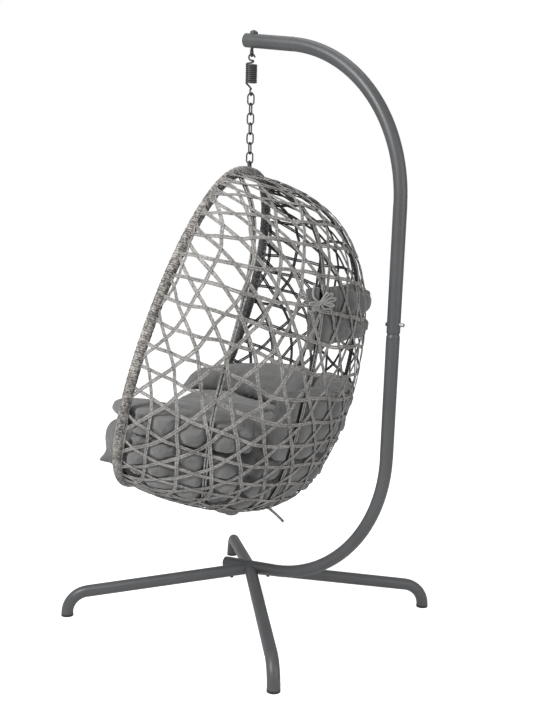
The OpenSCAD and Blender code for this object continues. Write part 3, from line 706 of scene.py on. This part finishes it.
def press(v, vn, bulge, hollow, relief, spot=None):
    """Cloth that lies near the wall swells out through its openings, and is held back by its strands
    and ribs. Hollows are the sewn-in places, relief what the simulation gave each point, and spot
    the centre, radius and height of one more bulge."""
    fi, fj = on_grid(v)
    p, n = sample(FIELD[0], fi, fj), unit(sample(FIELD[1], fi, fj))
    strand, rib, rim_far, slow = (sample(FIELD[k], fi, fj) for k in (2, 3, 4, 5))
    low = smooth(fi / ROWS, LOW_FROM, 0.88)
    r = v - p
    d = (r * n).sum(1)
    beside = np.linalg.norm(r - d[:, None] * n, axis=1)
    out = bulge * np.minimum(1.3, 0.7 + 1.7 * slow) * (1 - low)
    if spot:
        centre, radius, height = spot
        out = out + height * np.exp(-(np.linalg.norm(p - centre, axis=1) / radius) ** 2)
    want = CANE_FACE - (CANE_FACE + out) * smooth(strand, *BY_STRAND)
    want = np.maximum(want, RIB_FACE - np.maximum(0, rib - 0.007) * 0.9)
    by_rim = 1 - smooth(rim_far, *BY_RIM)
    want = want * (1 - by_rim) + RIM_FACE * by_rim + hollow + relief
    faces_it = smooth(-(vn * n).sum(1), *FACING)
    w = faces_it * (1 - smooth(d, *OFF_WALL)) * (1 - smooth(beside, *PAST_WALL))
    return v + n * ((want - d) * w)[:, None]


# ---------------------------------------------------------------- cushions

PAD_T, PILLOW_T = 0.125, 0.080
DRAW_IN = 0.06              # how far a pad's sides draw in between its corners
ON_WALL = WALL_T + FLAT_PLAY + 2 * PLAY
ON_RIB = WALL_T + RIBS["outer"][3] + RIB_D - 2 * PLAY
PAD_INSET = WALL_T + FLAT_PLAY + RIB_D + 3 * PLAY
# spans are how far down the wall a cushion lies, reaches how far round it
PAD_SPAN, ARM_REACH, BACK_REACH = (0.485, 0.608), (0.428, 1.2), 0.412
NEAR_SPAN = (0.535, 0.606)  # the near arm pad lies slumped
PILLOW_SPAN, PILLOW_REACH = (0.327, 0.428), 0.34
SEAT_SPAN, SEAT_REACH, SEAT_BULGE, SEAT_CROWN = (0.608, 0.955), 0.9, 0.166, 0.046
TUFTS_BEHIND = 0.27         # the seat is sewn in behind this distance out of the mouth
# points this near a tuft are held, a cover has this much slack, and it fills for so many frames
PIN_R, SLACK, FILL_FRAMES = 0.006, 0.05, 20
RELIEF = (-0.005, 0.008)    # the least and most of the simulation's wrinkles that are kept
# where the ties are, the width of a pleat, how far in from a tie the pleats lie, and their reach
TIE_T, PLEAT, PLEATS_AT, PLEATS_REACH = 0.355, 0.024, 0.070, (0.050, 0.055)
CREASE_HALF, CREASE_FADE = 0.012, 0.011    # half a crease's full-depth width, and how it fades
CREASE_DEPTH, PLEAT_DEPTH, FOLD_DEPTH = 0.030, 0.015, 0.0032


def tie_place(side):
    """The u of a tie's knot, just outside an inner rib."""
    ends, middle, power, _ = RIBS["inner"]
    return side * (ends + (middle - ends) * math.sin(math.pi * TIE_T) ** power + 0.03)


def coords(o, what="co"):
    """The places of a mesh's points, or their normals."""
    a = np.empty(len(o.data.vertices) * 3, np.float32)
    o.data.vertices.foreach_get(what, a)
    return a.reshape(-1, 3).astype(float)


def set_coords(o, v):
    """Moves a mesh's points to new places."""
    o.data.vertices.foreach_set("co", v.astype(np.float32).ravel())
    o.data.update()


def applied(o):
    """Makes an object's modifiers part of its mesh."""
    dg = bpy.context.evaluated_depsgraph_get()
    me = bpy.data.meshes.new_from_object(o.evaluated_get(dg))
    o.modifiers.clear()
    o.data = me
    me.polygons.foreach_set("use_smooth", [True] * len(me.polygons))


def grid_faces(rows, cols, closed):
    """Faces between the rows of a grid, whose columns may run round."""
    i = np.arange(rows - 1)[:, None] * cols
    j = np.arange(cols if closed else cols - 1)[None, :]
    k = (j + 1) % cols
    return np.stack([i + j, i + k, i + cols + k, i + cols + j], -1).reshape(-1, 4).tolist()


def pad_shape(ts, us, thick, off, power=3.8, corner=0.0):
    """A pad like the CAD's, finer, a little slack before it is filled, with rounder upper corners
    where corner is above 0."""
    n = 36
    a, b = [g.ravel() for g in np.meshgrid(*[np.linspace(-1, 1, n + 1)] * 2, indexing="ij")]
    a2, b2 = a * (1 - DRAW_IN * (1 - b * b)), b * (1 - DRAW_IN * (1 - a * a))
    up = corner * (a < 0)
    a2, b2 = a2 * np.sqrt(1 - up * b * b), b2 * np.sqrt(1 - up * a * a)
    t = (ts[0] + ts[1]) / 2 + a2 * (ts[1] - ts[0]) / 2
    u = (us[0] + us[1]) / 2 + b2 * (us[1] - us[0]) / 2
    swell = np.sqrt(np.maximum(0, (1 - np.abs(a) ** power) * (1 - np.abs(b) ** power)))
    parts = []
    for side in (-1, 1):
        v = inset(t, u, off + thick / 2 * (1 + side * swell * 0.94))
        f = grid_faces(n + 1, n + 1, False)
        parts.append((v, f if side > 0 else [q[::-1] for q in f]))
    return joined(parts)[:2]


def seat_shape():
    """The seat's body as rings: its crowned top, its sides and its foot."""
    back, front, body, crown = 80, 44, 44, 18

    def loop(t, bulge, gap):
        """A ring that runs round the wall, then back over the front, which bulges."""
        p = inset(np.full(back + 1, t), np.linspace(SEAT_REACH, -SEAT_REACH, back + 1), gap)
        w = (np.arange(1, front) / front)[:, None]
        over = p[-1] * (1 - w) + p[0] * w
        over[:, 0] += bulge * (1 - np.abs(2 * w[:, 0] - 1) ** 8)
        return np.vstack([p, over])

    rings = []
    for s in np.linspace(0, 1, body):
        rings.append(loop(SEAT_SPAN[0] + (SEAT_SPAN[1] - SEAT_SPAN[0]) * s,
                          SEAT_BULGE * math.sin(math.radians(90 + 80 * (s - 0.15))) ** 2,
                          PAD_INSET + 0.018 * (1 - min(1, s * 8)) ** 2))
    mid, low = rings[0].mean(0), rings[-1].mean(0)
    top = [mid + (rings[0] - mid) * f + [0, 0, SEAT_CROWN * (1 - f ** 4)]
           for f in np.linspace(0.01, 1, crown)[:-1]]
    rings = top + rings + [low + (rings[-1] - low) * f for f in (0.6, 0.3, 0.01)]
    n = len(rings[0])
    f = grid_faces(len(rings), n, True)
    f += [list(range(n))[::-1], [(len(rings) - 1) * n + k for k in range(n)]]
    return np.vstack(rings), f


def spread_points(v, gap, allowed):
    """Points a gap apart all over a cushion."""
    ids = np.nonzero(allowed)[0]
    chosen = [int(ids[np.argmin(v[ids, 0])])]
    far = np.linalg.norm(v - v[chosen[0]], axis=1)
    while True:
        k = int(ids[np.argmax(far[ids])])
        if far[k] < gap:
            return v[chosen]
        chosen.append(k)
        far = np.minimum(far, np.linalg.norm(v - v[k], axis=1))


def fill_up(o, pinned, cap):
    """Blows the cover up as cloth, its sewn-in places held, and lets no point go far."""
    start = coords(o)
    m = o.modifiers.new("fill", "CLOTH")
    s = m.settings
    s.quality = 5
    s.mass = 0.25
    s.tension_stiffness = s.compression_stiffness = 12
    s.shear_stiffness = 5
    s.bending_stiffness = 0.6
    s.use_pressure = True
    s.uniform_pressure_force = 4
    s.shrink_min = -SLACK
    s.effector_weights.gravity = 0
    m.collision_settings.use_collision = False
    if len(pinned):
        g = o.vertex_groups.new(name="sewn")
        g.add([int(k) for k in pinned], 1.0, "REPLACE")
        s.vertex_group_mass = "sewn"
    for k in range(1, FILL_FRAMES + 1):
        scene.frame_set(k)
    applied(o)
    scene.frame_set(1)
    move = coords(o) - start
    size = np.linalg.norm(move, axis=1, keepdims=True)
    set_coords(o, start + move * np.minimum(1, cap / np.maximum(size, 1e-9)))


def smoothed(o, values, times):
    """Values on the points of a mesh, evened out along its edges."""
    e = np.empty(len(o.data.edges) * 2, np.int32)
    o.data.edges.foreach_get("vertices", e)
    e = e.reshape(-1, 2)
    n = len(values)
    count = np.bincount(e.ravel(), minlength=n)
    for _ in range(times):
        total = np.bincount(e[:, 0], values[e[:, 1]], n) + np.bincount(e[:, 1], values[e[:, 0]], n)
        values = total / np.maximum(1, count)
    return values


def gathers(v):
    """Pleats in the pillow, between its ties and its middle, 1 in their valleys."""
    fold = np.zeros(len(v))
    for side in (1, -1):
        t, u = TIE_T, tie_place(side)
        at = inset(t, u, 0)[0]
        up = unit(inset(t - 0.01, u, 0)[0] - at)
        back = unit(inset(t, u - side * 0.02, 0)[0] - at)
        x, y = (v - at) @ back, (v - at) @ up
        sway = np.array([noise.noise(Vector((a * 16, b * 9, side * 3.0))) for a, b in zip(x, y)])
        wave = 0.5 + 0.5 * np.cos(2 * np.pi * x / PLEAT + 3.5 * sway)
        fold += wave * np.exp(-((x - PLEATS_AT) / PLEATS_REACH[0]) ** 2 - (y / PLEATS_REACH[1]) ** 2)
    return fold


def crease(v, line):
    """How close points lie to a line on the wall: 1 along it, fading to about 0 at 35 mm."""
    t, u = np.array(line).T
    k = np.linspace(0, len(t) - 1, 60)
    path = inset(np.interp(k, np.arange(len(t)), t), np.interp(k, np.arange(len(u)), u), 0.02)
    far = distance(tree_of(path), v)
    return np.exp(-(np.maximum(0, far - CREASE_HALF) / CREASE_FADE) ** 2)


def folds(v):
    """Folds that a cover keeps, broad and fine, 1 in the middle of the broad ones."""
    return np.array([(1 - abs(noise.noise(q * 13))) ** 10
                     + 0.6 * (1 - abs(noise.noise(q * 27 + Vector((5, 1, 3))))) ** 10
                     for q in map(Vector, v)])


def cushion(node, shape, bulge, voxel=0.007, tuft_gap=0.0, cap=0.010, spot=None, pulls=(),
            creases=(), gathered=False):
    """A cushion's cover: sewn in, filled as cloth, pressed against the weave with its creases and
    pleats, then folded and drawn out. A pull is from where, to where, its reach and its power."""
    o = add_mesh(node + "_cover", *shape, [COVER])
    m = o.modifiers.new("even", "REMESH")
    m.mode, m.voxel_size = "VOXEL", voxel
    applied(o)
    v, n = coords(o), coords(o, "normal")
    pins = []
    if tuft_gap:
        tufts = tree_of(spread_points(v, tuft_gap, v[:, 0] < TUFTS_BEHIND))
        far = distance(tufts, v)
        pins = np.nonzero(far < PIN_R)[0]
        v = v - n * (0.016 * np.exp(-(far / 0.030) ** 2))[:, None]
        set_coords(o, v)
    relief = np.zeros(len(v))
    before = coords(o)
    fill_up(o, pins, cap)
    change = ((coords(o) - before) * n).sum(1)
    relief = np.clip(smoothed(o, change, 12) - change, *RELIEF)
    kept = o.data.attributes.new("relief", "FLOAT", "POINT")
    kept.data.foreach_set("value", relief.astype(np.float32))
    m = o.modifiers.new("fine", "SUBSURF")
    m.levels = m.render_levels = 1
    applied(o)
    v, n = coords(o), coords(o, "normal")
    relief = np.empty(len(v), np.float32)
    o.data.attributes["relief"].data.foreach_get("value", relief)
    hollow = np.zeros(len(v))
    if tuft_gap:
        far = distance(tufts, v)
        hollow = 0.024 * np.exp(-(far / 0.022) ** 2) + 0.010 * np.exp(-(far / 0.045) ** 2)
    for line in creases:
        hollow = np.maximum(hollow, CREASE_DEPTH * crease(v, line))
    if gathered:
        hollow = hollow + PLEAT_DEPTH * gathers(v)
    v = press(v, n, bulge, hollow, relief, spot)
    v = v - n * (folds(v) * FOLD_DEPTH)[:, None]
    for base, tip, reach, power in pulls:
        w = np.maximum(0, 1 - np.linalg.norm(v - base, axis=1) / reach) ** power
        v = v + (np.asarray(tip) - base) * w[:, None]
    set_coords(o, placed(v))
    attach(o, "basket")
    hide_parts(node)


# the seat's front corners stand out beside the rim, and the tip of its seam sticks out below
SEAT_PULLS = [((0.335, 0.30, 0.660), (0.350, 0.305, 0.688), 0.100, 1.0),
              ((0.270, -0.30, 0.700), (0.280, -0.305, 0.711), 0.140, 1.0),
              ((0.372, 0.30, 0.585), (0.408, 0.325, 0.575), 0.034, 1.5)]
# creases that run down the seat's sides, each as t and u of places on the wall
SEAT_CREASES = [[(0.600, 0.425), (0.640, 0.432), (0.684, 0.436), (0.760, 0.41)],
                [(0.600, -0.425), (0.650, -0.430), (0.740, -0.40)]]
PILLOW_SPOT = (wall(0.358, -0.125)[0], 0.075, 0.020)

cushion("seat_cushion", seat_shape(), bulge=0.008, voxel=0.008, tuft_gap=0.135, cap=0.014,
        pulls=SEAT_PULLS, creases=SEAT_CREASES)
FAR_REACH = (-ARM_REACH[1], -ARM_REACH[0])
for name, span, reach in (("left", NEAR_SPAN, ARM_REACH), ("right", PAD_SPAN, FAR_REACH)):
    cushion("arm_pad_" + name, pad_shape(span, reach, PAD_T, ON_RIB, corner=0.30), bulge=0.007)
back_pad = pad_shape(PAD_SPAN, (-BACK_REACH, BACK_REACH), PAD_T, ON_WALL, corner=0.15)
cushion("back_pad", back_pad, bulge=0.007)
pillow = pad_shape(PILLOW_SPAN, (-PILLOW_REACH, PILLOW_REACH), PILLOW_T, ON_WALL - 0.001, power=2.5)
cushion("head_pillow", pillow, bulge=0.008, spot=PILLOW_SPOT, gathered=True)

# ---------------------------------------------------------------- ties of the head pillow

TAPE_R, KNOT_OUT = 0.0030, 0.0055
# a bow's loops as angle, length and breadth, and its tails as angle, length and bend
LOOPS = [(2, 0.063, 0.007), (-17, 0.056, 0.006), (20, 0.054, 0.007), (38, 0.040, 0.006),
         (176, 0.050, 0.006), (196, 0.040, 0.005)]
TAILS = [(118, 0.060, 0.012), (66, 0.052, -0.012), (-156, 0.058, 0.008), (-38, 0.046, -0.006)]


def tie(side):
    """A bow tied round an inner rib, outside the weave."""
    t, u = TIE_T, tie_place(side)
    n = -inward(t, u)[0]
    up = unit(inset(t - 0.01, u, 0)[0] - inset(t + 0.01, u, 0)[0])
    back = unit(inset(t, u - side * 0.02, 0)[0] - inset(t, u + side * 0.02, 0)[0])
    knot = inset(t, u, -KNOT_OUT)[0]
    parts = []

    def tape(points):
        """A length of rolled tape."""
        q, _ = even(np.array(points), 0.0025, closed=False)
        parts.append(sweep(placed(q), np.tile(placed(n)[0] - HANG, (len(q), 1)), circle(TAPE_R, 8)))

    def heading(angle):
        """The way that a loop or tail goes, and the way across it."""
        a = math.radians(angle)
        return math.cos(a) * back + math.sin(a) * up, -math.sin(a) * back + math.cos(a) * up

    w = np.linspace(0, 2 * np.pi, 40)[:, None]
    for angle, length, breadth in LOOPS:
        way, over = heading(angle)
        tape(knot + way * length * (1 - np.cos(w)) / 2 + over * breadth * np.sin(w) * (1 - np.cos(w)) / 2
             + n * (0.006 * np.sin(w / 2) ** 2))
    w = np.linspace(0, 1, 24)[:, None]
    for angle, length, bend in TAILS:
        way, over = heading(angle)
        tape(knot + way * length * w + over * bend * np.sin(w * np.pi * 1.3) + n * 0.004 * np.sin(w * 7))
    w = np.linspace(0, 2 * np.pi, 24)[:, None]
    for tilt in (-0.5, 0.5):
        round_it = up * math.cos(tilt) + back * math.sin(tilt)
        tape(knot + n * 0.0045 * np.sin(w) + round_it * 0.0050 * np.cos(w))
    v, f, _ = joined(parts)
    make("tie_" + ("left" if side > 0 else "right"), v, f, "basket", [TAPE])


tie(1)
tie(-1)

# ---------------------------------------------------------------- spring

ARM_H, EYE_DROP, EYE_WIRE = 1.921, 0.046, 0.006
SPRING_WIRE, SPRING_D, SPRING_GAP, SPRING_TURNS = 0.0058, 0.038, 0.0005, 9
HOOK_R, HOOK_RISE, HOOK_DROP = 0.0095, 0.0106, 0.017
HOOK_TOP = ARM_H - EYE_DROP + (EYE_WIRE + SPRING_WIRE) / 2 + PLAY
COIL_TOP = HOOK_TOP - 2 * HOOK_R - HOOK_RISE
COIL_LOW = COIL_TOP - (SPRING_TURNS + 0.25) * (SPRING_WIRE + SPRING_GAP)
COIL_R = (SPRING_D - SPRING_WIRE) / 2


def build_spring():
    """The spring's wire in one piece: the lower hook, the coil and the upper hook."""
    def end(rise):
        """From the coil's edge in to its middle, then round the hook."""
        s = np.arange(1, 28) / 28
        a, r = np.pi / 2 * (1 + s), COIL_R * (1 - s * s)
        wind = np.stack([r * np.cos(a), r * np.sin(a), rise * s * s * (3 - 2 * s)], 1)
        b = np.radians(np.arange(-90, 151, 8))
        hook = np.stack([HOOK_R * np.cos(b), 0 * b, rise + HOOK_R + HOOK_R * np.sin(b)], 1)
        tip = hook[-1:] + [[-SPRING_WIRE / 2, 0, -SPRING_WIRE * 0.87]]
        return np.vstack([wind, hook, tip])

    low, high = end(HOOK_DROP)[::-1], end(HOOK_RISE)
    low = np.stack([low[:, 1], low[:, 0], COIL_LOW - low[:, 2]], 1)
    w = np.linspace(0, SPRING_TURNS + 0.25, 36 * SPRING_TURNS)
    coil = np.stack([COIL_R * np.cos(2 * np.pi * w), COIL_R * np.sin(2 * np.pi * w),
                     COIL_LOW + (SPRING_WIRE + SPRING_GAP) * w], 1)
    p = np.vstack([low, coil, high + [0, 0, COIL_TOP]])
    p, _ = even(p, 0.0022, closed=False)
    d = tangents(p)
    side = np.zeros_like(p)
    s = np.array([0, 1, 0.2])
    for k in range(len(p)):
        s = unit(s - (s @ d[k]) * d[k])
        side[k] = s
    v, f = sweep(placed(p), placed(side) - HANG, circle(SPRING_WIRE / 2, 12))
    o = add_mesh("spring_wire", v, f, [DARK_STEEL])
    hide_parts("spring")
    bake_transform(o)


build_spring()

# ---------------------------------------------------------------- stage, lights and camera

SHADE_LIGHT = 0.44     # the world's strength on the object; the camera sees it as 1, which is white
FLOOR_GREY, FLOOR_GLOW = 0.86, 0.72
PHOTO_TURN = math.radians(128.08)

world = bpy.data.worlds.new("studio")
scene.world = world
world.use_nodes = True
world_nodes, world_links = world.node_tree.nodes, world.node_tree.links
background = world_nodes["Background"]
background.inputs["Color"].default_value = (1, 1, 1, 1)
world_path = world_nodes.new("ShaderNodeLightPath")
seen = add(world_nodes, "ShaderNodeMath", operation="MAXIMUM")
world_links.new(world_path.outputs["Is Camera Ray"], seen.inputs[0])
world_links.new(world_path.outputs["Is Transmission Ray"], seen.inputs[1])
strength = world_nodes.new("ShaderNodeMapRange")
strength.inputs["To Min"].default_value = SHADE_LIGHT
strength.inputs["To Max"].default_value = 1.0
world_links.new(seen.outputs["Value"], strength.inputs["Value"])
world_links.new(strength.outputs["Result"], background.inputs["Strength"])

floor_look, floor_nodes, floor_links, floor_shader = new_material("floor")
floor_nodes.remove(floor_shader)
diffuse = add(floor_nodes, "ShaderNodeBsdfDiffuse", Color=(FLOOR_GREY, FLOOR_GREY, FLOOR_GREY, 1))
glow = add(floor_nodes, "ShaderNodeEmission", Color=(1, 1, 1, 1))
floor_path = floor_nodes.new("ShaderNodeLightPath")
glow_seen = add(floor_nodes, "ShaderNodeMath", operation="MULTIPLY")
glow_seen.inputs[1].default_value = FLOOR_GLOW
floor_links.new(floor_path.outputs["Is Camera Ray"], glow_seen.inputs[0])
floor_links.new(glow_seen.outputs["Value"], glow.inputs["Strength"])
both = floor_nodes.new("ShaderNodeAddShader")
floor_links.new(diffuse.outputs[0], both.inputs[0])
floor_links.new(glow.outputs[0], both.inputs[1])
floor_links.new(both.outputs[0], floor_nodes["Material Output"].inputs["Surface"])
bpy.ops.mesh.primitive_plane_add(size=60, location=(0, 0, -0.0005))
floor = bpy.context.object
floor.name = "floor"
floor.data.materials.append(floor_look)


def photo_to_row(v):
    """From the frame of the fitted camera, which looks roughly along y, to the row's frame."""
    c, s = math.cos(PHOTO_TURN), math.sin(PHOTO_TURN)
    return Vector((c * v[0] - s * v[1], s * v[0] + c * v[1], v[2]))


def area(name, where, at, size, power):
    """A round white lamp, with its place and its target in the camera's frame."""
    d = bpy.data.lights.new(name, "AREA")
    d.shape = "DISK"
    d.size = size
    d.energy = power
    o = bpy.data.objects.new(name, d)
    scene.collection.objects.link(o)
    p = photo_to_row(where)
    o.location = p
    o.rotation_euler = (photo_to_row(at) - p).to_track_quat("-Z", "Y").to_euler()


area("key", (-2.6, -2.4, 3.4), (0, 0, 0.9), 1.6, 150)
area("fill", (2.8, -2.2, 2.0), (0, 0, 0.9), 2.5, 34)
area("top", (0.2, 0.6, 4.2), (0, 0, 0.8), 2.4, 22)

# the photo's camera as fitted: its lens and shift in the photo's pixels, its place and its angles
FOCAL_PX, CAM_SHIFT_PX, PHOTO_H_PX, SENSOR_MM = 955.3043, 105.9294, 720, 36
CAM_BACK, CAM_H = 3.247, 1.2841
CAM_PITCH, CAM_ROLL, CAM_PAN = 0.2259, 0.0269, -0.019
cam_data = bpy.data.cameras.new("camera")
cam_data.sensor_width = SENSOR_MM
cam_data.lens = FOCAL_PX * SENSOR_MM / PHOTO_H_PX
cam_data.shift_y = CAM_SHIFT_PX / PHOTO_H_PX
cam = bpy.data.objects.new("camera", cam_data)
scene.collection.objects.link(cam)
scene.camera = cam
sin_pan, cos_pan = math.sin(CAM_PAN), math.cos(CAM_PAN)
sin_roll, cos_roll = math.sin(CAM_ROLL), math.cos(CAM_ROLL)
level = Vector((cos_pan, sin_pan, 0))
ahead = Vector((-sin_pan * math.cos(CAM_PITCH), cos_pan * math.cos(CAM_PITCH), -math.sin(CAM_PITCH)))
upright = level.cross(ahead)
x_axis = photo_to_row(cos_roll * level + sin_roll * upright)
y_axis = photo_to_row(-sin_roll * level + cos_roll * upright)
z_axis = -photo_to_row(ahead)
place = photo_to_row((0, -CAM_BACK, CAM_H)) + Vector(HUB)
cam.matrix_world = Matrix(((x_axis.x, y_axis.x, z_axis.x, place.x), (x_axis.y, y_axis.y, z_axis.y, place.y),
                           (x_axis.z, y_axis.z, z_axis.z, place.z), (0, 0, 0, 1)))
cam_data.dof.use_dof = False

scene.view_settings.view_transform = "Standard"
